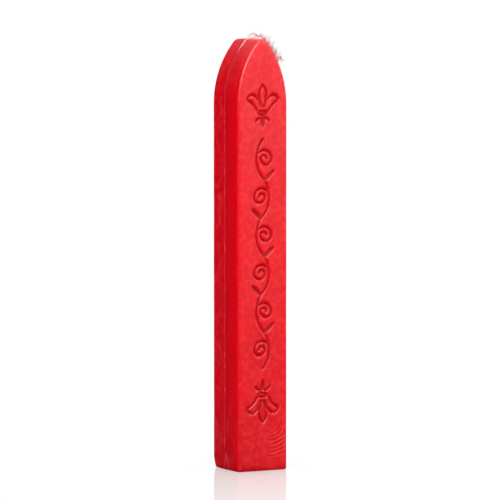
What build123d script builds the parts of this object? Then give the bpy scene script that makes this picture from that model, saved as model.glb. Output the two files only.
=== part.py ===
from build123d import *
from math import atan2, degrees, radians, sqrt, tan
import os

# Sealing wax stick: two wax halves meet on the mould's parting plane and hold a plaited wick between them.
# Frame: origin at the middle of the base, +Z up the stick, the carved front face towards -Y. Millimetres.

# Wax body
STICK_HEIGHT = 90.0
STICK_WIDTH = 11.9              # at the parting plane, where the stick is widest
STICK_DEPTH = 11.4
DRAFT_ANGLE = 1.5               # degrees by which each half narrows towards its own face
SHOULDER_RADIUS = 20.0          # the two arcs of the pointed top, tangent to the sides
TIP_RADIUS = 1.5                # rounds the point where the shoulders meet
EDGE_RADIUS = 0.7               # round the front face and the back face
BASE_CHAMFER = 0.3              # round the foot of the stick

# Wick
WICK_WIDTH = 2.6                # front to back
WICK_THICKNESS = 1.4            # left to right
WICK_CLEARANCE = 0.05           # between the wick and the channel cast round it
WICK_FOOT = 2.0                 # wax left under the wick
TAIL_POINTS = [                 # free tail: right, back and up from the middle of the tip
    (0.0, 0.0, -0.4),
    (1.3, -0.2, 0.9),
    (3.6, -0.6, 0.6),
    (5.5, -1.1, -1.6),
    (6.4, -1.5, -4.4),
]
BEND_SHARE = 0.45               # share of the shorter run that a bend of the wick takes up

# Carving in the front face
STROKE_WIDTH = 0.6
STROKE_DEPTH = 0.4
LEAF_HALF_WIDTH = 0.5           # of every pointed leaf
UPPER_LILY_BELOW_TIP = 15.5     # middle of the upright lily's collar
LOWER_LILY_ABOVE_BASE = 15.9    # middle of the inverted lily's collar
COLLAR_WIDTH = 2.3              # oval ring round the lily's waist
COLLAR_HEIGHT = 1.2
COLLAR_STROKE = 0.42
TAIL_GAP = 0.3                  # between the collar and the leaf that is the lily's tail
TAIL_LENGTH = 1.9
VINE_GAP = 2.7                  # between a lily's tail and the end of the vine
VINE_PITCH = 8.0                # aimed length of one swing of the stem
VINE_SWING = 1.5                # how far the stem swings to either side
CURL_RADII = [1.75, 1.25, 0.7]  # half circles of one curling tendril, from the stem inwards
LEAF_ROOT = (0.35, -0.6)        # right and up from where the stem crosses the middle line
LEAF_TIP = (2.4, 1.3)

# Lily strokes on its right-hand side, each an arc: start, a point on the way, end.
# Right and up from the collar's middle. The left-hand side is their mirror image.
LILY_ARCS = [
    ((0.2, 1.3), (0.62, 2.5), (0.85, 3.8)),        # middle petal, foot to belly
    ((0.85, 3.8), (0.62, 4.85), (0.0, 5.75)),      # middle petal, belly to point
    ((0.5, 1.4), (0.95, 2.6), (1.75, 3.45)),       # side petal, rising edge
    ((1.75, 3.45), (2.75, 3.75), (3.5, 3.1)),      # side petal, over the top
    ((3.5, 3.1), (3.55, 2.75), (3.25, 2.5)),       # side petal, round the end
    ((3.25, 2.5), (2.2, 1.7), (1.4, 0.5)),         # side petal, lower edge
    ((0.45, -1.05), (1.05, -1.15), (1.6, -1.7)),   # side tail
]

half_width = STICK_WIDTH / 2
half_depth = STICK_DEPTH / 2
tail_root = COLLAR_HEIGHT / 2 + TAIL_GAP
lily_tail = tail_root + TAIL_LENGTH     # from the collar's middle to the end of the tail


def wax_outline():
    """Front outline of the stick at the parting plane, run on below the base so that it can be cut flat."""
    centre_offset = SHOULDER_RADIUS - half_width
    tip_rise = sqrt((SHOULDER_RADIUS - TIP_RADIUS) ** 2 - centre_offset**2)
    tip_centre = STICK_HEIGHT - TIP_RADIUS
    spring = tip_centre - tip_rise
    meeting = degrees(atan2(tip_rise, centre_offset))
    run_on = half_depth
    outline = [
        Line((-half_width, -run_on), (half_width, -run_on)),
        Line((half_width, -run_on), (half_width, spring)),
        CenterArc((-centre_offset, spring), SHOULDER_RADIUS, 0, meeting),
        CenterArc((0, tip_centre), TIP_RADIUS, meeting, 180 - 2 * meeting),
        CenterArc((centre_offset, spring), SHOULDER_RADIUS, 180 - meeting, meeting),
        Line((-half_width, spring), (-half_width, -run_on)),
    ]
    return make_face(outline)


def plain_front_half():
    """The front half before it is carved: drafted, cut flat at the base and eased along its edges."""
    block = extrude(Plane.XZ * wax_outline(), amount=half_depth, taper=DRAFT_ANGLE)
    block = split(block, bisect_by=Plane.XY, keep=Keep.TOP)
    face_edges = block.faces().sort_by(Axis.Y)[0].edges().sort_by(Axis.Z)
    block = fillet(face_edges[1:], EDGE_RADIUS)
    foot_edges = block.faces().sort_by(Axis.Z)[0].edges().sort_by(Axis.Y)
    return chamfer(foot_edges[:-1], BASE_CHAMFER)


def wick_points():
    """Corners of the wick's route, from its foot inside the wax to the end of the tail."""
    tip = Vector(0, 0, STICK_HEIGHT)
    return [Vector(0, 0, WICK_FOOT)] + [tip + Vector(*offset) for offset in TAIL_POINTS]


def bend_radii(points):
    """The largest round that each corner of the route has room for."""
    radii = []
    for before, corner, after in zip(points, points[1:], points[2:]):
        turn = (corner - before).get_angle(after - corner)
        shorter = min((corner - before).length, (after - corner).length)
        radii.append(BEND_SHARE * shorter / tan(radians(turn / 2)))
    return radii


def wick_tube(clearance):
    """The wick as a flat tube along its route, grown all round by the clearance."""
    points = wick_points()
    route = FilletPolyline(*points, radius=bend_radii(points))
    section = SlotOverall(WICK_WIDTH + 2 * clearance, WICK_THICKNESS + 2 * clearance, rotation=90)
    return sweep(Pos(points[0]) * section, path=route), route


def stroke(start, on_the_way, end):
    """One carved stroke along an arc, with round ends."""
    line = trace(ThreePointArc(start, on_the_way, end), STROKE_WIDTH)
    ends = [Pos(*point) * Circle(STROKE_WIDTH / 2) for point in (start, end)]
    return [line] + ends


def leaf(root, tip):
    """A pointed leaf between two points."""
    root = Vector(*root)
    tip = Vector(*tip)
    across = (tip - root).normalized().rotate(Axis.Z, 90) * LEAF_HALF_WIDTH
    middle = (root + tip) / 2
    edges = [ThreePointArc(root, middle + across, tip), ThreePointArc(tip, middle - across, root)]
    return [make_face(edges)]


def lily():
    """A lily flower in outline round its collar, pointing up, with three tails below the collar."""
    half = [shape for arc in LILY_ARCS for shape in stroke(*arc)]
    other_half = [mirror(shape, about=Plane.YZ) for shape in half]
    island = SlotOverall(COLLAR_WIDTH - 2 * COLLAR_STROKE, COLLAR_HEIGHT - 2 * COLLAR_STROKE)
    collar = SlotOverall(COLLAR_WIDTH, COLLAR_HEIGHT) - island
    return half + other_half + [collar] + leaf((0, -tail_root), (0, -lily_tail))


def curl(side, height):
    """A tendril that leaves the stem at the top of its swing and curls in over the middle line."""
    strokes = []
    edge = VINE_SWING
    way = 1
    for radius in CURL_RADII:
        far_edge = edge - way * 2 * radius
        middle = (edge + far_edge) / 2
        start, top, end = (edge, height), (middle, height + way * radius), (far_edge, height)
        strokes += stroke(*[(side * x, z) for x, z in (start, top, end)])
        edge = far_edge
        way = -way
    return strokes


def vine(low, high):
    """A stem that swings from side to side up the face, with a tendril in each hollow and a leaf between."""
    count = max(1, round((high - low) / VINE_PITCH))
    pitch = (high - low) / count
    shapes = []
    for index in range(count):
        side = 1 if index % 2 == 0 else -1
        bottom = low + index * pitch
        middle = bottom + pitch / 2
        shapes += stroke((0, bottom), (side * VINE_SWING, middle), (0, bottom + pitch))
        shapes += curl(side, middle)
        if index > 0:
            shapes += leaf(*[(-side * x, bottom + z) for x, z in (LEAF_ROOT, LEAF_TIP)])
    return shapes


def carving():
    """Everything cut into the front face: a lily near each end and the vine between them."""
    upper = STICK_HEIGHT - UPPER_LILY_BELOW_TIP
    lower = LOWER_LILY_ABOVE_BASE
    shapes = [Pos(0, upper) * shape for shape in lily()]
    shapes += [Pos(0, lower) * Rot(0, 0, 180) * shape for shape in lily()]
    shapes += vine(lower + lily_tail + VINE_GAP, upper - lily_tail - VINE_GAP)
    floor = Plane.XZ.offset(half_depth - STROKE_DEPTH)
    return extrude(floor * (Sketch() + shapes), amount=2 * STROKE_DEPTH)


wick, wick_route = wick_tube(0)
channel, _ = wick_tube(WICK_CLEARANCE)
plain_half = plain_front_half()
wax_front_half = plain_half - channel - carving()
wax_back_half = mirror(plain_half, about=Plane.XZ) - channel

os.makedirs("parts", exist_ok=True)
for name, piece in {"wax_front_half": wax_front_half, "wax_back_half": wax_back_half, "wick": wick}.items():
    piece.label = name
    export_step(piece, f"parts/{name}.step")
    print(f"{name}: {len(piece.solids())} solid, {piece.volume:.1f} cubic mm, {piece.bounding_box().size}")

section_area = SlotOverall(WICK_WIDTH, WICK_THICKNESS).area
print("wick bend radii:", [round(radius, 2) for radius in bend_radii(wick_points())])
print(f"wick length {wick_route.length:.1f}, volume over section times length "
      f"{wick.volume / (section_area * wick_route.length):.4f}")
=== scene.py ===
# %% [markdown]
# # A sealing wax stick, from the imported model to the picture
# The stick is two wax halves cast round a plaited cotton wick, and nothing on it moves.
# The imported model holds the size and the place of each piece. This lesson makes a finished piece for
# each of them in the same frame: metres, the foot of the stick at the origin, the carved face towards -Y.

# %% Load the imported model
import bmesh
import bpy
import random
from cmath import phase
from math import atan2, ceil, cos, degrees, pi, radians, sin, sqrt, tan
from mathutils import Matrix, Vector
from mathutils.kdtree import KDTree


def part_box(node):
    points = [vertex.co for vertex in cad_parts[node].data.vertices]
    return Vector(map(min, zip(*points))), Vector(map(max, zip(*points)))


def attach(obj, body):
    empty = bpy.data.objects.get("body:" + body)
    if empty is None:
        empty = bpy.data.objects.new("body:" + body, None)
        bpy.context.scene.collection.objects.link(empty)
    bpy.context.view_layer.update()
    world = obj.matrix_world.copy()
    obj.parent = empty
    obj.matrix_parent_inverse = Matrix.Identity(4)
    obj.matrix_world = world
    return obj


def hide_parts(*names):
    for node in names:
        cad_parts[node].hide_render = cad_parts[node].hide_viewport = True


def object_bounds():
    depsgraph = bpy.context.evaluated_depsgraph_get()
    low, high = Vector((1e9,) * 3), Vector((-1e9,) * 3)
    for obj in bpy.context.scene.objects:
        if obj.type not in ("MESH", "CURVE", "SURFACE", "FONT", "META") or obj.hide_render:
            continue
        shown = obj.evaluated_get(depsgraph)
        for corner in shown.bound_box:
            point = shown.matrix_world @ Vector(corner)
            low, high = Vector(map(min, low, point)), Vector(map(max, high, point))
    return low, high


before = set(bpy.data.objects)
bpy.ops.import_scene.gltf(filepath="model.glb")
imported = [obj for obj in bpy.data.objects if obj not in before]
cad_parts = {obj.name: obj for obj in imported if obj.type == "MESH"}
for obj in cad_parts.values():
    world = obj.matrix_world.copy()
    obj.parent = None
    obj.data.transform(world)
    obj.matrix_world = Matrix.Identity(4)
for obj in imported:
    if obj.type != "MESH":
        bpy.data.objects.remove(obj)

MM = 0.001
cad_low, cad_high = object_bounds()
bpy.ops.object.select_all(action="DESELECT")
print("nodes:", sorted(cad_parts), "box in mm:", [round(side / MM, 1) for side in cad_high - cad_low])

# %% [markdown]
# ## The camera
# The photograph was taken from a little to the left of the carved face, level with the tip of the stick.
# A long lens from two thirds of a metre keeps the upright edges nearly parallel, as they are there.
# A camera looks down its own -Z axis, so it is tipped up by a right angle less its rise, then turned.

# %% Place the camera
VIEW_TURN = radians(-28)
VIEW_RISE = radians(3.6)
VIEW_DISTANCE = 711 * MM
VIEW_LENS = 245
middle = Vector((0, 0, cad_high.z / 2))


def direction(turn, rise):
    """Unit vector away from the stick; a turn of 0 faces the carved side."""
    return Vector((sin(turn) * cos(rise), -cos(turn) * cos(rise), sin(rise)))


bpy.ops.object.camera_add(
    location=middle + direction(VIEW_TURN, VIEW_RISE) * VIEW_DISTANCE,
    rotation=(pi / 2 - VIEW_RISE, 0, VIEW_TURN),
)
camera = bpy.context.object
camera.data.lens = VIEW_LENS
bpy.context.scene.camera = camera
print("camera at", [round(place / MM) for place in camera.location], "mm")

# %% [markdown]
# ## The wick
# The wick is a flat plait of three cotton strands. It runs up the middle of the wax, comes out at the tip,
# bends over to the right and ends in a fray. Its route is one smooth NURBS line, drawn by a few chosen
# points. A bevelled curve would give a smooth hose, so each strand is a bundle of yarns that winds along it.

# %% Draw the route of the wick
WICK_ROUTE = [
    (0, 0, 2), (0, 0, 87.7), (0, 0, 90.0), (0.8, -0.3, 91.2), (3.0, -0.8, 90.7), (5.0, -1.2, 88.2),
    (6.3, -1.6, 85.1),
]
route_curve = bpy.data.curves.new("wick_route", "CURVE")
route_curve.dimensions = "3D"
route_curve.resolution_u = 32
spline = route_curve.splines.new("NURBS")
spline.points.add(len(WICK_ROUTE) - 1)
for point, place in zip(spline.points, WICK_ROUTE):
    point.co = (*Vector(place) * MM, 1)
spline.order_u = 3
spline.use_endpoint_u = True
route = bpy.data.objects.new("wick_route", route_curve)
bpy.context.collection.objects.link(route)
route_line = bpy.data.meshes.new_from_object(route)
wick_path = [vertex.co.copy() for vertex in route_line.vertices]
bpy.data.objects.remove(route)
wick_length = sum((after - before).length for before, after in zip(wick_path, wick_path[1:]))
print(f"wick: {len(wick_path)} points, {wick_length / MM:.1f} mm long")

# %% Walk along the route in even steps
WICK_STEP = 0.25 * MM


def even_steps(points, step):
    """Places a step apart along a line of points, each with its distance from the start."""
    places = [(0.0, points[0])]
    walked = 0.0
    for before, after in zip(points, points[1:]):
        run = (after - before).length
        while places[-1][0] + step <= walked + run:
            reached = places[-1][0] + step
            places.append((reached, before.lerp(after, (reached - walked) / run)))
        walked += run
    return places


def with_axes(places):
    """Add the wick's own directions at each place: across its width, and through its thickness."""
    across = Vector((0, 1, 0))
    framed = []
    for index, (reached, place) in enumerate(places):
        ahead = places[min(index + 1, len(places) - 1)][1]
        behind = places[max(index - 1, 0)][1]
        along = (ahead - behind).normalized()
        across = (across - along * across.dot(along)).normalized()
        framed.append((reached, place, along, across, along.cross(across)))
    return framed


wick_frames = with_axes(even_steps(wick_path, WICK_STEP))
print(len(wick_frames), "steps along the wick")

# %% Wind the yarns of the plait
PLAIT_PITCH = 4.0 * MM
PLAIT_HALF_WIDTH = 0.70 * MM
PLAIT_HALF_THICKNESS = 0.26 * MM
STRANDS = 3
YARNS = 9
YARN_TWIST = 4.4 * MM
YARN_OUT = 0.30 * MM
YARN_RADIUS = 0.16 * MM
STRAND_START = 0.37
FRAY_LENGTH = 2.2 * MM
FRAY_SPREAD = 1.6
FRAY_UNEVEN = 0.9 * MM
FRAY_DRIFT_ACROSS = 0.5 * MM
FRAY_DRIFT_THROUGH = 0.3 * MM
TAIL_LENGTH = 9 * MM
PUFF_LENGTH = 2.5 * MM
PUFF_OUT = 0.4
PUFF_THICKNESS = 0.3
chance = random.Random(5)


def yarn_places(strand, yarn):
    """One yarn: round its strand, which weaves from side to side through the plait."""
    shift = 2 * pi * strand / STRANDS
    start = 2 * pi * (yarn / YARNS + STRAND_START * strand)
    end = wick_length - chance.uniform(0, FRAY_UNEVEN)
    drift = Vector((chance.uniform(-1, 1), chance.uniform(-1, 1)))
    places = []
    for reached, place, along, across, through in wick_frames:
        if reached > end:
            break
        loose = max(0, (reached - wick_length + FRAY_LENGTH) / FRAY_LENGTH) ** 2
        puff = min(1, max(0, (reached - wick_length + TAIL_LENGTH) / PUFF_LENGTH))
        weave = 2 * pi * reached / PLAIT_PITCH + shift
        twist = 2 * pi * reached / YARN_TWIST + start
        out = YARN_OUT * (1 + PUFF_OUT * puff + FRAY_SPREAD * loose)
        thickness = PLAIT_HALF_THICKNESS * (1 + PUFF_THICKNESS * puff)
        sideways = PLAIT_HALF_WIDTH * sin(weave) + out * cos(twist) + drift.x * loose * FRAY_DRIFT_ACROSS
        inwards = thickness * sin(2 * weave) + out * sin(twist) + drift.y * loose * FRAY_DRIFT_THROUGH
        places.append(place + across * sideways + through * inwards)
    return places


yarns = [yarn_places(strand, yarn) for strand in range(STRANDS) for yarn in range(YARNS)]
print(len(yarns), "yarns of about", len(yarns[0]), "points")

# %% Add loose fibres along the tail and at its end
HAIRS = 46
HAIR_POINTS = 6
HAIR_THINNESS = 0.2
HAIR_TAPER = 0.6
HAIR_CROWDING = 2.2
HAIR_CURL = 0.22
HAIR_ROOT_ACROSS = 0.85 * MM
HAIR_ROOT_THROUGH = 0.45 * MM


def hair_places():
    """A fine fibre that leaves the plait at a slant and curls."""
    reached = wick_length - TAIL_LENGTH * chance.random() ** HAIR_CROWDING
    index = min(int(reached / WICK_STEP), len(wick_frames) - 1)
    _, place, along, across, through = wick_frames[index]
    angle = chance.uniform(0, 2 * pi)
    root = place + across * (HAIR_ROOT_ACROSS * cos(angle)) + through * (HAIR_ROOT_THROUGH * sin(angle))
    outward = (across * cos(angle) + through * sin(angle)) * chance.uniform(0.3, 0.9)
    heading = (along * chance.uniform(0.1, 0.9) + outward).normalized()
    curl = Vector((chance.uniform(-1, 1), chance.uniform(-1, 1), chance.uniform(-1, 0.4)))
    step = chance.uniform(0.12, 0.3) * MM
    places = [root]
    for _ in range(HAIR_POINTS - 1):
        places.append(places[-1] + heading * step)
        heading = (heading + curl * HAIR_CURL).normalized()
    return places


hairs = [hair_places() for _ in range(HAIRS)]
print(len(hairs), "loose fibres")

# %% Turn yarns and fibres into one mesh
wick_curve = bpy.data.curves.new("cotton_wick", "CURVE")
wick_curve.dimensions = "3D"
wick_curve.bevel_depth = YARN_RADIUS
wick_curve.bevel_resolution = 1
wick_curve.use_fill_caps = True


def lay_thread(places, thickness, thin_end):
    """Add one thread to the wick's curve; it thins towards its end where it is a loose fibre."""
    thread = wick_curve.splines.new("POLY")
    thread.points.add(len(places) - 1)
    for index, (point, place) in enumerate(zip(thread.points, places)):
        point.co = (*place, 1)
        point.radius = thickness * (1 - thin_end * index / len(places))


CORE_THICKNESS = 2.6
CORE_SHORTER_BY = 2 * MM
core = [place for reached, place, *_ in wick_frames if reached < wick_length - CORE_SHORTER_BY]
lay_thread(core, CORE_THICKNESS, 0.0)
for places in yarns:
    lay_thread(places, 1.0, 0.0)
for places in hairs:
    lay_thread(places, HAIR_THINNESS, HAIR_TAPER)
wick = bpy.data.objects.new("cotton_wick", wick_curve)
bpy.context.collection.objects.link(wick)
wick.select_set(True)
bpy.context.view_layer.objects.active = wick
bpy.ops.object.convert(target="MESH")
wick = bpy.context.object
bpy.ops.object.shade_smooth()
print("wick faces:", len(wick.data.polygons))

WICK_MOUTH = Vector((0, 0, 89.6)) * MM
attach(wick, "root")
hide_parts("wick")

# %% [markdown]
# ## The blank wax half
# Each half came out of one side of a mould, so it narrows a little towards its own face, and its edges are
# round where the mould was. The top is a pointed arch of two arcs with a small round at the point.
# A block cut by Booleans would leave long thin faces that can't be carved. Here the outline is spun from
# arcs, extruded to a wall, bevelled, and closed with a grid of small squares, which is then relaxed.

# %% Helpers for modelling by hand
SAME_PLACE = 0.002 * MM


def take(piece):
    """Make a piece the only one selected, and the one that the next tools work on."""
    bpy.ops.object.select_all(action="DESELECT")
    piece.select_set(True)
    bpy.context.view_layer.objects.active = piece


def pick(kind, test):
    """Select the vertices, edges or faces of the open mesh that pass a test, and count them."""
    bpy.ops.mesh.select_mode(type=kind)
    bpy.ops.mesh.select_all(action="DESELECT")
    form = bmesh.from_edit_mesh(bpy.context.edit_object.data)
    items = {"VERT": form.verts, "EDGE": form.edges, "FACE": form.faces}[kind]
    chosen = [item for item in items if test(item)]
    for item in chosen:
        item.select_set(True)
    form.select_flush_mode()
    bmesh.update_edit_mesh(bpy.context.edit_object.data)
    return len(chosen)


def at(value, target):
    """True where a measure is as good as equal to its target."""
    return abs(value - target) < SAME_PLACE


def both(edge, test):
    """True where both ends of an edge pass a test on their place."""
    return all(test(end.co) for end in edge.verts)


def start_piece(name):
    """A new mesh that holds one vertex at the origin, open for editing."""
    bpy.ops.object.select_all(action="DESELECT")
    bpy.ops.mesh.primitive_plane_add(size=MM)
    piece = bpy.context.object
    piece.name = name
    piece.data.name = name
    bpy.ops.object.mode_set(mode="EDIT")
    bpy.ops.mesh.select_mode(type="VERT")
    bpy.ops.mesh.select_all(action="SELECT")
    bpy.ops.mesh.merge(type="CENTER")
    return piece


# %% Sizes of the wax body
front_low, front_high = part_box("wax_front_half")
half_width = front_high.x
half_depth = -front_low.y
STICK_HEIGHT = 90 * MM
SHOULDER_RADIUS = 20 * MM
TIP_RADIUS = 1.5 * MM
DRAFT_ANGLE = radians(1.5)
EDGE_RADIUS = 0.7 * MM
FOOT_ROUND = 0.3 * MM
arc_offset = SHOULDER_RADIUS - half_width
tip_rise = sqrt((SHOULDER_RADIUS - TIP_RADIUS) ** 2 - arc_offset**2)
tip_centre = STICK_HEIGHT - TIP_RADIUS
spring = tip_centre - tip_rise
meeting = atan2(tip_rise, arc_offset)
print(f"arch springs at {spring / MM:.1f} mm, shoulders turn {degrees(meeting):.1f} degrees")

# %% Spin the outline on the parting plane
SHOULDER_STEPS = 36
TIP_STEPS = 14
SIDE_ROUNDS = (9, 17)


def up(edge):
    """True for an edge that runs straight up or down a side."""
    return at(edge.verts[0].co.x, edge.verts[1].co.x) and edge.calc_length() > MM


wax_front = start_piece("wax_front")
bpy.ops.transform.translate(value=(half_width, 0, 0))
bpy.ops.mesh.extrude_region_move(TRANSFORM_OT_translate={"value": (0, 0, spring)})
bpy.ops.mesh.spin(steps=SHOULDER_STEPS, angle=meeting, center=(-arc_offset, 0, spring), axis=(0, 1, 0))
bpy.ops.mesh.spin(steps=TIP_STEPS, angle=pi - 2 * meeting, center=(0, 0, tip_centre), axis=(0, 1, 0))
bpy.ops.mesh.spin(steps=SHOULDER_STEPS, angle=meeting, center=(arc_offset, 0, spring), axis=(0, 1, 0))
bpy.ops.mesh.extrude_region_move(TRANSFORM_OT_translate={"value": (0, 0, -spring)})
bpy.ops.mesh.extrude_region_move(TRANSFORM_OT_translate={"value": (2 * half_width, 0, 0)})
bpy.ops.mesh.select_all(action="SELECT")
bpy.ops.mesh.remove_doubles(threshold=0.001 * MM)
for pieces in SIDE_ROUNDS:
    pick("EDGE", up)
    bpy.ops.mesh.subdivide(number_cuts=pieces - 1)
print("outline points:", len(bmesh.from_edit_mesh(wax_front.data).verts))

# %% Extrude the wall with its draft, and close both ends
draft = half_depth * tan(DRAFT_ANGLE)
bpy.ops.mesh.select_all(action="SELECT")
bpy.ops.mesh.extrude_region_move(TRANSFORM_OT_translate={"value": (0, -half_depth, 0)})
bpy.ops.mesh.select_all(action="SELECT")
bpy.ops.mesh.normals_make_consistent(inside=False)
pick("VERT", lambda vertex: at(vertex.co.y, -half_depth))
bpy.ops.transform.shrink_fatten(value=-draft, use_even_offset=True)
form = bmesh.from_edit_mesh(wax_front.data)
shrunk = [vertex.co.x for vertex in form.verts if at(vertex.co.y, -half_depth)]
print(f"front face narrows from {2 * half_width / MM:.2f} to {(max(shrunk) - min(shrunk)) / MM:.2f} mm")
pick("VERT", lambda vertex: at(vertex.co.y, -half_depth) and at(vertex.co.z, draft))
bpy.ops.transform.resize(value=(1, 1, 0), center_override=(0, 0, 0))
for depth in (-half_depth, 0):
    pick("EDGE", lambda edge: both(edge, lambda place: at(place.y, depth)))
    bpy.ops.mesh.edge_face_add()
bpy.ops.mesh.select_all(action="SELECT")
bpy.ops.mesh.normals_make_consistent(inside=False)
print("faces:", len(bmesh.from_edit_mesh(wax_front.data).faces))

# %% Round the edges
EDGE_SEGMENTS = 6
FOOT_SEGMENTS = 2


def meets(edge, direction_one, direction_two):
    """True for an edge between a face that looks one way and a face that looks another."""
    if len(edge.link_faces) != 2:
        return False
    one, two = [face.normal for face in edge.link_faces]
    return (direction_one(one) and direction_two(two)) or (direction_one(two) and direction_two(one))


def looks_front(normal):
    return normal.y < -0.99


def looks_down(normal):
    return normal.z < -0.99


def looks_out(normal):
    return abs(normal.y) < 0.1 and normal.z > -0.9


front_edges = pick("EDGE", lambda edge: meets(edge, looks_front, looks_out))
bpy.ops.mesh.bevel(offset=EDGE_RADIUS, segments=EDGE_SEGMENTS, clamp_overlap=False)
foot_edges = pick("EDGE", lambda edge: meets(edge, looks_down, lambda normal: not looks_down(normal))
                  and not both(edge, lambda place: at(place.y, 0)))
bpy.ops.mesh.bevel(offset=FOOT_ROUND, segments=FOOT_SEGMENTS, clamp_overlap=False)
print("edges rounded: front", front_edges, "foot", foot_edges)

# %% Close the front with a grid, and cut the walls across
BASE_STEPS = 24
WALL_STEPS = 10
RELAX_STEPS = 400
LONG_EDGE = 3 * MM


def spans(edge, axis):
    """True for a long edge that runs along one axis."""
    return abs(edge.verts[0].co[axis] - edge.verts[1].co[axis]) > LONG_EDGE


def lies_flat(face):
    """True for a face in the plane of the front, whichever way round it is."""
    return abs(face.normal.y) > 0.999 and at(face.calc_center_median().y, -half_depth)


pick("EDGE", lambda edge: spans(edge, 0))
bpy.ops.mesh.subdivide(number_cuts=BASE_STEPS - 1)
pick("FACE", lambda face: looks_front(face.normal) and len(face.verts) > 4)
bpy.ops.mesh.delete(type="ONLY_FACE")
bpy.ops.mesh.select_mode(type="VERT")
bpy.ops.mesh.select_all(action="DESELECT")
bpy.ops.mesh.select_non_manifold(extend=False, use_wire=False, use_multi_face=False,
                                 use_non_contiguous=False, use_verts=False)
form = bmesh.from_edit_mesh(wax_front.data)
rim = [vertex for vertex in form.verts if vertex.select]
lowest = min(vertex.co.z for vertex in rim)
corner = max((vertex for vertex in rim if at(vertex.co.z, lowest)), key=lambda vertex: vertex.co.x)
form.select_history.clear()
form.select_history.add(corner)
bmesh.update_edit_mesh(wax_front.data)
bpy.ops.mesh.fill_grid(span=BASE_STEPS)
print("points inside the face:", pick("VERT", lambda vertex: all(map(lies_flat, vertex.link_faces))))
bpy.ops.mesh.vertices_smooth(factor=0.5, repeat=RELAX_STEPS)
pick("EDGE", lambda edge: spans(edge, 1))
bpy.ops.mesh.subdivide(number_cuts=WALL_STEPS - 1)
bpy.ops.mesh.select_all(action="SELECT")
bpy.ops.mesh.normals_make_consistent(inside=False)
form = bmesh.from_edit_mesh(wax_front.data)
open_edges = sum(len(edge.link_faces) != 2 for edge in form.edges)
folded = sum(lies_flat(face) and face.normal.y > 0 for face in form.faces)
print("rim", len(rim), "faces", len(form.faces), "open edges", open_edges, "folded", folded)
bpy.ops.object.mode_set(mode="OBJECT")

# %% [markdown]
# ## The channel for the wick
# The wick is cast in, so the wax follows it closely. An oval bar a shade larger than the wick is taken out
# of the half with a Boolean, before the carving adds faces.

# %% Cut the channel
CHANNEL_HALF_WIDTH = 1.3 * MM
CHANNEL_HALF_THICKNESS = 0.78 * MM
CHANNEL_FOOT = 2 * MM


def finish_with(piece, kind, **settings):
    """Add a modifier, set it up and apply it."""
    modifier = piece.modifiers.new(kind.title(), kind)
    for name, value in settings.items():
        setattr(modifier, name, value)
    bpy.context.view_layer.objects.active = piece
    bpy.ops.object.modifier_apply(modifier=modifier.name)


bpy.ops.object.select_all(action="DESELECT")
channel_length = STICK_HEIGHT + MM - CHANNEL_FOOT
bpy.ops.mesh.primitive_cylinder_add(
    vertices=32, radius=CHANNEL_HALF_WIDTH, depth=channel_length,
    location=(0, 0, CHANNEL_FOOT + channel_length / 2),
)
channel = bpy.context.object
bpy.ops.object.mode_set(mode="EDIT")
bpy.ops.transform.resize(
    value=(CHANNEL_HALF_THICKNESS / CHANNEL_HALF_WIDTH, 1, 1), center_override=(0, 0, 0))
bpy.ops.object.mode_set(mode="OBJECT")
finish_with(wax_front, "BOOLEAN", operation="DIFFERENCE", object=channel, solver="EXACT")
bpy.data.objects.remove(channel)
print("faces with the channel:", len(wax_front.data.polygons))

# %% Copy the blank half to the back
take(wax_front)
bpy.ops.object.duplicate()
wax_back = bpy.context.object
wax_back.name = "wax_back"
wax_back.data.name = "wax_back"
bpy.ops.object.mode_set(mode="EDIT")
bpy.ops.mesh.select_all(action="SELECT")
bpy.ops.transform.resize(value=(1, -1, 1), center_override=(0, 0, 0))
bpy.ops.mesh.normals_make_consistent(inside=False)
bpy.ops.object.mode_set(mode="OBJECT")
print("back half:", len(wax_back.data.polygons), "faces")

# %% [markdown]
# ## The lines of the carving
# A lily stands near each end of the face, the lower one upside down, and a vine with tendrils and leaves
# climbs between them. The lines are drawn first, as a mesh of edges on the face: each stroke is an arc, spun
# from its first point about the centre of its circle.

# %% Measures of the ornament, in millimetres
UPPER_LILY = 74.5
LOWER_LILY = 15.9
COLLAR_HALF_WIDTH = 0.94
COLLAR_HALF_HEIGHT = 0.39
COLLAR_BOW = 0.06
COLLAR_BOW_HALFWAY = 0.02
LILY_TAIL_ROOT = 0.9
LILY_TAIL_END = 2.8
VINE_GAP = 2.7
VINE_PITCH = 8.0
VINE_SWING = 1.5
CURL_RADII = [1.75, 1.25, 0.7]
LEAF_ROOT = 0.35 - 0.6j
LEAF_TIP = 2.4 + 1.3j
LEAF_HALF_WIDTH = 0.22
# Each stroke of the lily's right half: start, a point on the way, end, as right + up j from the collar.
LILY_ARCS = [
    (0.2 + 1.3j, 0.62 + 2.5j, 0.85 + 3.8j),
    (0.85 + 3.8j, 0.62 + 4.85j, 5.75j),
    (0.5 + 1.4j, 0.95 + 2.6j, 1.75 + 3.45j),
    (1.75 + 3.45j, 2.75 + 3.75j, 3.5 + 3.1j),
    (3.5 + 3.1j, 3.55 + 2.75j, 3.25 + 2.5j),
    (3.25 + 2.5j, 2.2 + 1.7j, 1.4 + 0.5j),
    (0.45 - 1.05j, 1.05 - 1.15j, 1.6 - 1.7j),
]

# %% Tools that draw strokes on the face
STROKE_STEP = 0.12


def on_face(point):
    """Place on the front face of a point that is written as right + up j, in millimetres."""
    return Vector((point.real, -half_depth / MM, point.imag)) * MM


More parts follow.
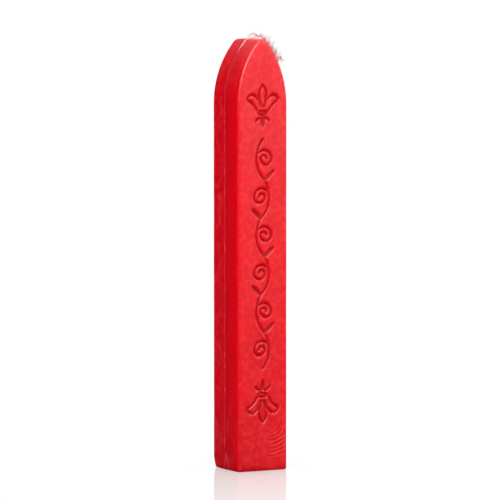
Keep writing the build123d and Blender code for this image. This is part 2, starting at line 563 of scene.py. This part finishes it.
def draw_arc(start, way, end):
    """Spin one vertex from start to end, along the circle through all three points."""
    ratio = (end - start) / (way - start)
    centre = start + (way - start) * (ratio - abs(ratio) ** 2) / (2j * ratio.imag)
    turn = phase((end - centre) / (start - centre)) % (2 * pi)
    if ratio.imag < 0:
        turn -= 2 * pi
    steps = max(4, ceil(abs(turn) * abs(start - centre) / STROKE_STEP))
    bpy.ops.mesh.primitive_plane_add(size=MM, location=on_face(start))
    bpy.ops.mesh.merge(type="CENTER")
    bpy.ops.mesh.spin(steps=steps, angle=turn, center=on_face(centre), axis=(0, 1, 0))


def draw_leaf(root, tip):
    """Two arcs between the ends of a leaf, filled to a face."""
    across = (tip - root) / abs(tip - root) * 1j * LEAF_HALF_WIDTH
    middle_vein = (root + tip) / 2
    known = len(bmesh.from_edit_mesh(strokes.data).verts)
    draw_arc(root, middle_vein - across, tip)
    draw_arc(tip, middle_vein + across, root)
    pick("VERT", lambda vertex: vertex.index >= known)
    bpy.ops.mesh.remove_doubles(threshold=0.01 * MM)
    bpy.ops.mesh.edge_face_add()


# %% Draw both lilies
strokes = start_piece("carving_lines")
bpy.ops.mesh.delete(type="VERT")


def draw_lily(middle_height, way_up):
    """A lily in outline round an oval collar, with three tails; way_up is -1 for an inverted one."""
    for side in (1, -1):
        for arc in LILY_ARCS:
            draw_arc(*[complex(side * point.real, middle_height + way_up * point.imag) for point in arc])
        top = middle_height + COLLAR_HALF_HEIGHT
        bottom = middle_height - COLLAR_HALF_HEIGHT
        rounding = side * (COLLAR_HALF_WIDTH - COLLAR_HALF_HEIGHT)
        top_end = complex(rounding, top - COLLAR_BOW)
        bottom_end = complex(rounding, bottom + COLLAR_BOW)
        draw_arc(complex(0, top), complex(rounding / 2, top - COLLAR_BOW_HALFWAY), top_end)
        draw_arc(complex(0, bottom), complex(rounding / 2, bottom + COLLAR_BOW_HALFWAY), bottom_end)
        draw_arc(top_end, complex(side * COLLAR_HALF_WIDTH, middle_height), bottom_end)
    draw_leaf(complex(0, middle_height - way_up * LILY_TAIL_ROOT),
              complex(0, middle_height - way_up * LILY_TAIL_END))


draw_lily(UPPER_LILY, 1)
draw_lily(LOWER_LILY, -1)
print("lilies:", len(bmesh.from_edit_mesh(strokes.data).edges), "edges")

# %% Draw the vine between them
vine_low = LOWER_LILY + LILY_TAIL_END + VINE_GAP
vine_high = UPPER_LILY - LILY_TAIL_END - VINE_GAP
swings = round((vine_high - vine_low) / VINE_PITCH)
pitch = (vine_high - vine_low) / swings
for index in range(swings):
    side = 1 if index % 2 == 0 else -1
    bottom = vine_low + index * pitch
    height = bottom + pitch / 2
    draw_arc(complex(0, bottom), complex(side * VINE_SWING, height), complex(0, bottom + pitch))
    edge = VINE_SWING
    way = 1
    for radius in CURL_RADII:
        far_edge = edge - way * 2 * radius
        top = complex(side * (edge + far_edge) / 2, height + way * radius)
        draw_arc(complex(side * edge, height), top, complex(side * far_edge, height))
        edge = far_edge
        way = -way
    if index > 0:
        root, tip = [complex(-side * end.real, bottom + end.imag) for end in (LEAF_ROOT, LEAF_TIP)]
        draw_leaf(root, tip)
print("vine:", swings, "swings;", len(bmesh.from_edit_mesh(strokes.data).edges), "edges in all")
bpy.ops.object.mode_set(mode="OBJECT")

# %% [markdown]
# ## Carving the face
# The real lines were raised in the mould, so they are shallow grooves with round floors and soft lips.
# A Boolean would give hard walls. Instead the squares near a line are cut small, a Vertex Weight Proximity
# modifier weighs each point by its distance from the lines, and a Displace modifier pushes it in by that.

# %% Cut the squares near the lines small
FINE_REACH = 0.95 * MM
FINE_CUTS = 4
RIPPLE_CENTRE = Vector((1.7 * MM, -half_depth, 10.5 * MM))
RIPPLE_INNER = 1.2 * MM
RIPPLE_OUTER = 9.5 * MM


def in_ripples(place):
    """True on the patch below and to the right of the ripples' centre."""
    reach = (place - RIPPLE_CENTRE).length
    below_right = place.x > RIPPLE_CENTRE.x - MM and place.z < RIPPLE_CENTRE.z
    return below_right and RIPPLE_INNER < reach < RIPPLE_OUTER


def needs_small_squares(face):
    """True for a square of the front near a carved line or among the ripples."""
    place = face.calc_center_median()
    return looks_front(face.normal) and (guide.find(place)[2] < FINE_REACH or in_ripples(place))


guide = KDTree(len(strokes.data.vertices))
for vertex in strokes.data.vertices:
    guide.insert(vertex.co, vertex.index)
guide.balance()
take(wax_front)
bpy.ops.object.mode_set(mode="EDIT")
fine = pick("FACE", needs_small_squares)
bpy.ops.mesh.subdivide(number_cuts=FINE_CUTS, ngon=False)
bpy.ops.object.mode_set(mode="OBJECT")
print(fine, "squares cut small;", len(wax_front.data.polygons), "faces now")

# %% Press the lines in
STROKE_HALF_WIDTH = 0.37 * MM
STROKE_FLOOR = 0.06 * MM
STROKE_DEPTH = 0.50 * MM
carved = wax_front.vertex_groups.new(name="carved")
carved.add(range(len(wax_front.data.vertices)), 1.0, "REPLACE")
finish_with(
    wax_front, "VERTEX_WEIGHT_PROXIMITY", vertex_group="carved", target=strokes, proximity_mode="GEOMETRY",
    proximity_geometry={"EDGE", "FACE"}, min_dist=STROKE_HALF_WIDTH, max_dist=STROKE_FLOOR,
    falloff_type="SMOOTH",
)
finish_with(wax_front, "DISPLACE", direction="Y", strength=STROKE_DEPTH, mid_level=0, vertex_group="carved")
bpy.data.objects.remove(strokes)
pressed = [vertex for vertex in wax_front.data.vertices if vertex.groups and vertex.groups[0].weight > 0.9]
deepest = max(vertex.co.y for vertex in pressed)
print(f"deepest groove {(deepest + half_depth) / MM:.2f} mm")

# %% Keep the grooves as an attribute for the finish
def keep_weights(piece, group_name, kept_name):
    """Copy a vertex group to a number on each point, which a material can read."""
    group = piece.vertex_groups[group_name]
    weights = [0.0] * len(piece.data.vertices)
    for vertex in piece.data.vertices:
        for member in vertex.groups:
            if member.group == group.index:
                weights[vertex.index] = member.weight
    kept = piece.data.attributes.new(kept_name, "FLOAT", "POINT")
    kept.data.foreach_set("value", weights)
    return sum(weight > 0.5 for weight in weights)


print("points in grooves:", keep_weights(wax_front, "carved", "groove"))

# %% [markdown]
# ## Marks of casting and handling
# Cast wax is never quite flat: it shrinks unevenly, ripples where it ran cold near the foot, and leaves a
# low ridge where the mould closed. Textures move the skin by hundredths of a millimetre: rings for the
# ripples, broad clouds for the faces, fine ones for the edges and the seam. The rim of the parting plane
# moves too, and is laid flat again at the end, so that both halves swell alike and meet without a gap.
# Handling has worn one corner of the foot, at the back left, by half a millimetre.

# %% Ripples where the wax ran cold
RIPPLE_PITCH = 0.82 * MM
RIPPLE_HEIGHT = 0.05 * MM
WOOD_RING = 2 * pi / 20
ripples = bpy.data.textures.new("cold_ripples", "WOOD")
ripples.wood_type = "RINGS"
ripples.noise_basis_2 = "SIN"
bpy.ops.object.empty_add(location=RIPPLE_CENTRE)
ripple_centre = bpy.context.object
ripple_centre.scale = [RIPPLE_PITCH / WOOD_RING] * 3


def ripple_share(place):
    """Strongest in the middle of the patch, fading out on all sides of it."""
    if place.y > -half_depth + EDGE_RADIUS / 2:
        return 0.0
    reach = (place - RIPPLE_CENTRE).length
    radial = sin(pi * (reach - RIPPLE_INNER) / (RIPPLE_OUTER - RIPPLE_INNER))
    rightwards = (place.x - RIPPLE_CENTRE.x + MM) / (2 * MM)
    return max(0.0, min(1.0, radial) * min(1.0, rightwards)) if in_ripples(place) else 0.0


rippled = wax_front.vertex_groups.new(name="rippled")
for vertex in wax_front.data.vertices:
    rippled.add([vertex.index], ripple_share(vertex.co), "REPLACE")
bpy.context.view_layer.update()
finish_with(
    wax_front, "DISPLACE", texture=ripples, texture_coords="OBJECT", texture_coords_object=ripple_centre,
    direction="Y", strength=RIPPLE_HEIGHT, vertex_group="rippled",
)
bpy.data.objects.remove(ripple_centre)
print("ripples every", RIPPLE_PITCH / MM, "mm")

# %% Uneven skin and worn edges
SKIN_SWELL = 0.07 * MM
EDGE_WEAR = 0.04 * MM
EDGE_FADE = 1.4 * MM
SEAM_FLASH = 0.07 * MM
SEAM_FADE = 0.6 * MM
SEAM_LEVEL = 0.2
PARTING_REACH = 0.1 * MM
SMOOTH_ANGLE = radians(50)
swell = bpy.data.textures.new("casting_swell", "CLOUDS")
swell.noise_scale = 9 * MM
swell.noise_depth = 1
nicks = bpy.data.textures.new("edge_nicks", "CLOUDS")
nicks.noise_scale = 0.9 * MM
nicks.noise_depth = 2


def rim_gap(place):
    """How far a point lies inside the outline of the stick, seen from the front."""
    if place.z < spring:
        return half_width - abs(place.x)
    return SHOULDER_RADIUS - Vector((abs(place.x) + arc_offset, place.z - spring)).length


def skin_share(place):
    """How far a point may move: nothing on the foot, nor where the halves meet inside the outline."""
    inside = at(place.y, 0) and rim_gap(place) > EDGE_RADIUS
    return 0.0 if inside or place.z < FOOT_ROUND / 2 else 1.0


def edge_share(place):
    """1 on the rounded edges of the face, fading to 0 on the flats."""
    from_edge = Vector((max(0, rim_gap(place) - draft), half_depth - abs(place.y))).length
    return max(0.0, 1 - from_edge / EDGE_FADE) * skin_share(place)


def seam_share(place):
    """1 beside the seam, fading to 0 on the sides."""
    from_seam = abs(place.y) + max(0, rim_gap(place))
    return max(0.0, 1 - from_seam / SEAM_FADE) * skin_share(place)


for piece in (wax_front, wax_back):
    for name, share in (("skin", skin_share), ("edges", edge_share), ("seam", seam_share)):
        group = piece.vertex_groups.new(name=name)
        for vertex in piece.data.vertices:
            group.add([vertex.index], share(vertex.co), "REPLACE")
    finish_with(piece, "DISPLACE", texture=swell, strength=SKIN_SWELL, vertex_group="skin")
    finish_with(piece, "DISPLACE", texture=nicks, strength=EDGE_WEAR, vertex_group="edges")
    finish_with(
        piece, "DISPLACE", texture=nicks, strength=SEAM_FLASH, mid_level=SEAM_LEVEL, vertex_group="seam")
    keep_weights(piece, "edges", "edge")
    piece.vertex_groups.clear()
    take(piece)
    bpy.ops.object.mode_set(mode="EDIT")
    print("points on the parting plane:", pick("VERT", lambda vertex: abs(vertex.co.y) < PARTING_REACH))
    bpy.ops.transform.resize(value=(1, 0, 1), center_override=(0, 0, 0))
    bpy.ops.object.mode_set(mode="OBJECT")
    bpy.ops.object.shade_smooth_by_angle(angle=SMOOTH_ANGLE)
    print(piece.name, len(piece.data.polygons), "faces")

# %% Wear down the back left corner of the foot
CORNER_WEAR = 0.36 * MM
CORNER_HEIGHT = 2.7 * MM
CORNER_REACH = 3 * MM
CORNER_FALL = 1.7


def corner_share(place):
    """1 at the foot of the back left edge, fading up that edge and along both faces beside it."""
    from_edge = Vector((place.x + half_width, half_depth - place.y)).length
    upwards = max(0.0, 1 - place.z / CORNER_HEIGHT) ** CORNER_FALL
    return upwards * max(0.0, 1 - from_edge / CORNER_REACH)


worn = wax_back.vertex_groups.new(name="worn_corner")
for vertex in wax_back.data.vertices:
    worn.add([vertex.index], corner_share(vertex.co), "REPLACE")
for axis, inwards in (("X", CORNER_WEAR), ("Y", -CORNER_WEAR)):
    finish_with(
        wax_back, "DISPLACE", direction=axis, strength=inwards, mid_level=0, vertex_group="worn_corner")
wax_back.vertex_groups.clear()
print(f"corner worn by {CORNER_WEAR * sqrt(2) / MM:.2f} mm over {CORNER_HEIGHT / MM} mm")

for piece, node in ((wax_front, "wax_front_half"), (wax_back, "wax_back_half")):
    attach(piece, "root")
    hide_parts(node)

# %% [markdown]
# ## Writing finishes as sums
# A finish is a tree of nodes. Wiring each Math node by hand hides the idea, so a small class stands for a
# number that changes over the surface, and Python's own signs add the nodes.

# %% Classes for numbers and node trees
class Number:
    """An output of a node. Sums on it add Math nodes to its tree."""

    def __init__(self, tree, socket):
        self.tree = tree
        self.socket = socket

    def maths(self, operation, *terms):
        return self.tree.add("ShaderNodeMath", {"operation": operation}, dict(enumerate(terms)))

    def __add__(self, other):
        return self.maths("ADD", self, other)

    def __sub__(self, other):
        return self.maths("SUBTRACT", self, other)

    def __rsub__(self, other):
        return self.maths("SUBTRACT", other, self)

    def __mul__(self, other):
        return self.maths("MULTIPLY", self, other)

    def __or__(self, other):
        return self.maths("MAXIMUM", self, other)

    def __abs__(self):
        return self.maths("ABSOLUTE", self)

    __radd__ = __add__
    __rmul__ = __mul__

    def falling(self, length):
        """1 at zero, fading to nothing over a few of these lengths."""
        return self.maths("EXPONENT", self * (-1 / length))

    def rising(self, low, high):
        """0 below the low value, 1 above the high one, smooth between."""
        limits = {"Value": self, "From Min": low, "From Max": high}
        return self.tree.add("ShaderNodeMapRange", {"interpolation_type": "SMOOTHSTEP"}, limits)


class Tree:
    """The nodes of one finish. Every node comes from add, which returns one of its outputs."""

    def __init__(self, owner):
        owner.use_nodes = True
        self.nodes = owner.node_tree.nodes
        self.links = owner.node_tree.links

    def join(self, socket, value):
        if isinstance(value, Number):
            self.links.new(value.socket, socket)
        else:
            socket.default_value = value

    def add(self, kind, settings, inputs, output=0):
        node = self.nodes.new(kind)
        for name, value in settings.items():
            setattr(node, name, value)
        for name, value in inputs.items():
            self.join(node.inputs[name], value)
        return Number(self, node.outputs[output])

    def place(self):
        return self.add("ShaderNodeTexCoord", {}, {}, "Object")

    def axis(self, vector, name):
        return self.add("ShaderNodeSeparateXYZ", {}, {0: vector}, name)

    def kept(self, name):
        return self.add("ShaderNodeAttribute", {"attribute_name": name}, {}, "Fac")

    def noise(self, place, size, detail=2.0):
        return self.add("ShaderNodeTexNoise", {}, {"Vector": place, "Scale": 1 / size, "Detail": detail}, 0)

    def stretch(self, place, scale):
        return self.add("ShaderNodeMapping", {"vector_type": "POINT"}, {"Vector": place, "Scale": scale})

    def distance(self, place, point):
        return self.add("ShaderNodeVectorMath", {"operation": "DISTANCE"}, {0: place, 1: point}, "Value")

    def blend(self, share, first, second):
        return self.add("ShaderNodeMix", {"data_type": "RGBA"}, {0: share, 6: first, 7: second}, 2)

    def surface(self, **values):
        for name, value in values.items():
            self.join(self.nodes["Principled BSDF"].inputs[name.replace("_", " ")], value)


def paint(piece, material):
    piece.data.materials.clear()
    piece.data.materials.append(material)


# %% [markdown]
# ## The red wax
# Sealing wax is resin and wax dyed through: deep red, a little cloudy, with a satin skin. Red light sinks
# in by a few millimetres, so edges glow. Its pale mottling on the face is a random tone and also painted
# sheen. A pale mark in such a finish turns grey, because the red spreads out of it, so scuffs, worn edges
# with painted highlight towards the tip, pale specks on the seam that are partly painted glints, and the
# smear at the wick are a second, matt finish mixed over the first. It also paints shade into the grooves,
# which are darkened in the wax's colour too, and covers the seam, where light that reaches the inner face
# of a half is lost and leaves a dark line.

# %% Mix the wax
RED = (0.82, 0.0005, 0.010, 1)
RED_DEEP = (0.71, 0.0004, 0.0088, 1)
# This pale red also paints sheen on the front face.
RED_PALE_AND_SHEEN = (0.88, 0.045, 0.050, 1)
# This dark red paints shade into the grooves.
RED_GROOVE_PAINTED_SHADE = (0.70, 0.0010, 0.0072, 1)
WAX_ROUGHNESS = 0.29
WAX_ROUGHNESS_SPREAD = 0.13
LIGHT_REACH = (3.0, 0.3, 0.2)

wax = bpy.data.materials.new("red_wax")
tree = Tree(wax)
place = tree.place()
across = abs(tree.axis(place, "X"))
depth = abs(tree.axis(place, "Y"))
height = tree.axis(place, "Z")
on_side = across.rising(half_width - 0.5 * MM, half_width - 0.2 * MM)
cloudy = tree.noise(place, 9 * MM, 3.0)
mottled = tree.noise(place, 1.1 * MM, 3.0)
grain = tree.noise(place, 0.22 * MM, 2.0)
# Pale mottling on the front: a random tone, and also painted sheen that varies over the face; the sides are
# left out.
paleness_and_sheen = grain.rising(0.5, 0.8) * 0.12 + mottled.rising(0.44, 0.64) * 0.36
colour = tree.blend(cloudy.rising(0.3, 0.7) * 0.5 + mottled.rising(0.35, 0.65) * 0.5, RED_DEEP, RED)
colour = tree.blend(paleness_and_sheen * (1 - on_side), colour, RED_PALE_AND_SHEEN)
# Painted shade: the grooves are darkened in the colour, beyond the shade the lights give their walls.
colour = tree.blend(tree.kept("groove") * 0.7, colour, RED_GROOVE_PAINTED_SHADE)
relief = grain * 0.25 + mottled * 0.75
bump = tree.add("ShaderNodeBump", {}, {"Strength": 0.45, "Distance": 0.05 * MM, "Height": relief})
roughness = WAX_ROUGHNESS + WAX_ROUGHNESS_SPREAD * mottled * (1 - tree.kept("edge"))
tree.surface(
    Base_Color=colour, Roughness=roughness, Normal=bump, IOR=1.45,
    Subsurface_Weight=1.0, Subsurface_Radius=LIGHT_REACH, Subsurface_Scale=MM,
)
print("wax nodes:", len(tree.nodes))

# %% Mark it where it was handled, paint glints on the seam and shade in the grooves
# Pale rubbed wax, also used as painted glints on the seam and on the edges near the tip.
RUBBED_AND_GLINTS = (1.0, 0.07, 0.095, 1)
ROOT_SMEAR = (1.0, 0.62, 0.60, 1)
# This dark red is painted shade in the grooves, laid on as a matt mark.
GROOVE_PAINTED_SHADE = (0.42, 0.0008, 0.006, 1)
near_foot = 1 - height.rising(3 * MM, 18 * MM)
near_tip = height.rising(70 * MM, 88 * MM)
streaks = tree.noise(tree.stretch(place, (1, 1, 0.12)), 0.45 * MM, 2.0)
scuffs = streaks.rising(0.55, 0.66) * on_side * near_foot * (1 - tree.kept("edge"))
# Pale specks along the seam: rubbed flash, and painted glints where light catches its bumps.
specks = tree.noise(place, 0.7 * MM, 2.0).rising(0.52, 0.64)
patchy = tree.noise(place, 5 * MM, 1.0).rising(0.42, 0.60)
seam = (1 - depth.rising(0.1 * MM, 0.5 * MM)) * specks * patchy * (1 - 0.7 * near_tip)
beside_seam = 1 - depth.rising(0.05 * MM, 0.6 * MM)
from_mouth = tree.distance(place, WICK_MOUTH)
smear = (1 - depth.rising(0.15 * MM, 0.5 * MM)) * (1 - (from_mouth + specks * MM).rising(2.2 * MM, 4 * MM))
rubbed = on_side * tree.axis(place, "Y").rising(0, 0.4 * MM) * mottled.rising(0.46, 0.66)
# Paler edges: wear, and painted highlight along the arch, strongest near the tip.
wear_and_highlight = tree.kept("edge") * mottled.rising(0.45, 0.68) * (0.2 + 0.8 * near_tip)
# Painted shade in the grooves, as a dark matt mark.
groove_painted_shade = tree.kept("groove").rising(0.35, 0.95)
marked = scuffs * 0.6 | beside_seam | smear * 0.9 | rubbed * 0.15 | wear_and_highlight * 0.2 | groove_painted_shade * 0.5
plain = beside_seam.rising(0, 0.05) * (1 - (seam | scuffs))
mark_colour = tree.blend(plain, tree.blend(groove_painted_shade, RUBBED_AND_GLINTS, GROOVE_PAINTED_SHADE), colour)
mark_colour = tree.blend(smear, mark_colour, ROOT_SMEAR)
marks = tree.add("ShaderNodeBsdfPrincipled", {}, {
    "Base Color": mark_colour, "Roughness": 0.6, "Specular IOR Level": 0.2, "Normal": bump,
})
clean = Number(tree, tree.nodes["Principled BSDF"].outputs[0])
handled = tree.add("ShaderNodeMixShader", {}, {0: marked, 1: clean, 2: marks})
tree.join(tree.nodes["Material Output"].inputs["Surface"], handled)
for piece in (wax_front, wax_back):
    paint(piece, wax)
print("wax nodes with the marks:", len(tree.nodes))

# %% [markdown]
# ## The cotton
# The plait is bleached cotton: matt, with a fine fuzz. Melted wax climbed into it where it leaves the
# stick, so its root is stained pink and fades to white within about two millimetres.

# %% Mix the cotton
COTTON = (0.87, 0.875, 0.865, 1)
COTTON_SHADE = (0.78, 0.79, 0.77, 1)
SOAKED = (0.95, 0.68, 0.66, 1)
cotton = bpy.data.materials.new("white_cotton")
tree = Tree(cotton)
place = tree.place()
right = tree.axis(place, "X")
height = tree.axis(place, "Z")
from_mouth = tree.distance(place, WICK_MOUTH)
fibres = tree.noise(place, 0.12 * MM, 2.0)
soaked = 1 - (from_mouth + fibres * 0.8 * MM).rising(0.9 * MM, 2.2 * MM)
inside = (1 - height.rising(89 * MM, 90 * MM)) * (1 - right.rising(1 * MM, 2 * MM))
colour = tree.blend(fibres.rising(0.3, 0.7), COTTON_SHADE, COTTON)
colour = tree.blend(soaked | inside, colour, SOAKED)
bump = tree.add("ShaderNodeBump", {}, {"Strength": 0.5, "Distance": 0.04 * MM, "Height": fibres})
tree.surface(Base_Color=colour, Roughness=0.85 + 0.1 * fibres, Normal=bump, Sheen_Weight=0.25)
paint(wick, cotton)
print("cotton nodes:", len(tree.nodes))

# %% [markdown]
# ## Floor and light
# The stick stands on white acrylic in a white tent. The floor is bright enough to vanish in the background,
# and mirrors the foot of the stick faintly. Light that bounces off it is darkened near the stick, a painted
# shade on the foot, and reflections in the wax see it black. The tent is dark at the back and left, which
# keeps the left side deep red. At the right a broad softbox and a small key light shine on the carved face.
# At the left a tall strip lights the side, and a second strip that only reflections see draws the bright
# line along the arch. A light behind the tip brings out the wick.

# %% Lay the floor
FLOOR_SIZE = 4.0
bpy.ops.object.select_all(action="DESELECT")
bpy.ops.mesh.primitive_plane_add(size=FLOOR_SIZE)
floor = bpy.context.object
floor.name = "floor"
floor_finish = bpy.data.materials.new("white_floor")
tree = Tree(floor_finish)
distance = tree.add("ShaderNodeVectorMath", {"operation": "LENGTH"}, {0: tree.place()}, "Value")
white = tree.add("ShaderNodeEmission", {}, {"Strength": 1.0})
matt = tree.add("ShaderNodeBsdfDiffuse", {}, {"Color": (0.8, 0.8, 0.8, 1)})
black = tree.add("ShaderNodeBsdfDiffuse", {}, {"Color": (0.02, 0.02, 0.02, 1)})
mirror = tree.add("ShaderNodeBsdfGlossy", {}, {"Roughness": 0.0, "Color": (1, 1, 1, 1)})
seen = tree.add("ShaderNodeMixShader", {}, {0: 0.9 * distance.falling(4 * MM), 1: white, 2: matt})
seen = tree.add("ShaderNodeMixShader", {}, {0: 0.42 * distance.falling(70 * MM), 1: seen, 2: mirror})
by_camera = tree.add("ShaderNodeLightPath", {}, {}, "Is Camera Ray")
by_gloss = tree.add("ShaderNodeLightPath", {}, {}, "Is Glossy Ray")
# Painted shade: light bouncing off the floor is darkened near the stick, which darkens its foot.
bounce_painted_shade = tree.add("ShaderNodeMixShader", {}, {0: 0.6 * distance.falling(60 * MM), 1: matt, 2: black})
unseen = tree.add("ShaderNodeMixShader", {}, {0: by_gloss, 1: bounce_painted_shade, 2: black})
shown = tree.add("ShaderNodeMixShader", {}, {0: by_camera, 1: unseen, 2: seen})
tree.join(tree.nodes["Material Output"].inputs["Surface"], shown)
paint(floor, floor_finish)

# %% Hang the tent
AMBIENT = 0.20
world = bpy.data.worlds.new("tent")
bpy.context.scene.world = world
tree = Tree(world)
heading = tree.add("ShaderNodeTexCoord", {}, {}, "Generated")
leftwards = 1 - tree.axis(heading, "X").rising(0.55, 0.85)
behind = tree.axis(heading, "Y").rising(-0.35, 0.05)
low = 1 - tree.axis(heading, "Z").rising(0.35, 0.65)
by_mirror = tree.add("ShaderNodeLightPath", {}, {}, "Is Singular Ray")
reflected = 1 - leftwards * behind * low * (1 - by_mirror)
by_camera = tree.add("ShaderNodeLightPath", {}, {}, "Is Camera Ray")
by_gloss = tree.add("ShaderNodeLightPath", {}, {}, "Is Glossy Ray")
unseen = by_gloss * reflected + (1 - by_gloss) * AMBIENT
tree.join(tree.nodes["Background"].inputs["Color"], (1, 1, 1, 1))
tree.join(tree.nodes["Background"].inputs["Strength"], by_camera + (1 - by_camera) * unseen)


# %% Hang the soft lights
def softbox(name, turn, rise, reach, width, tall, brightness):
    """A rectangular light that faces the middle of the stick; brightness is what a mirror would show."""
    heading = direction(radians(turn), radians(rise))
    bpy.ops.object.light_add(
        type="AREA", location=middle + heading * reach, rotation=heading.to_track_quat("Z", "Y").to_euler())
    light = bpy.context.object
    light.name = name
    light.data.shape = "RECTANGLE"
    light.data.size = width
    light.data.size_y = tall
    light.data.energy = brightness * pi * width * tall
    print(f"{name}: {light.data.energy:.2f} W")
    return light


softbox("sheen_softbox", turn=30, rise=22, reach=0.7, width=0.5, tall=0.5, brightness=1.8)
softbox("key_light", turn=48, rise=40, reach=0.4, width=0.17, tall=0.17, brightness=6.1)
softbox("edge_light", turn=-55, rise=42, reach=0.5, width=0.15, tall=0.45, brightness=8.0)
softbox("top_light", turn=150, rise=60, reach=0.5, width=0.4, tall=0.4, brightness=2.4)
glint_strip = softbox("glint_strip", turn=-52, rise=45, reach=0.5, width=0.2, tall=0.42, brightness=8.0)
glint_strip.visible_diffuse = False
bpy.context.scene.view_settings.view_transform = "Standard"
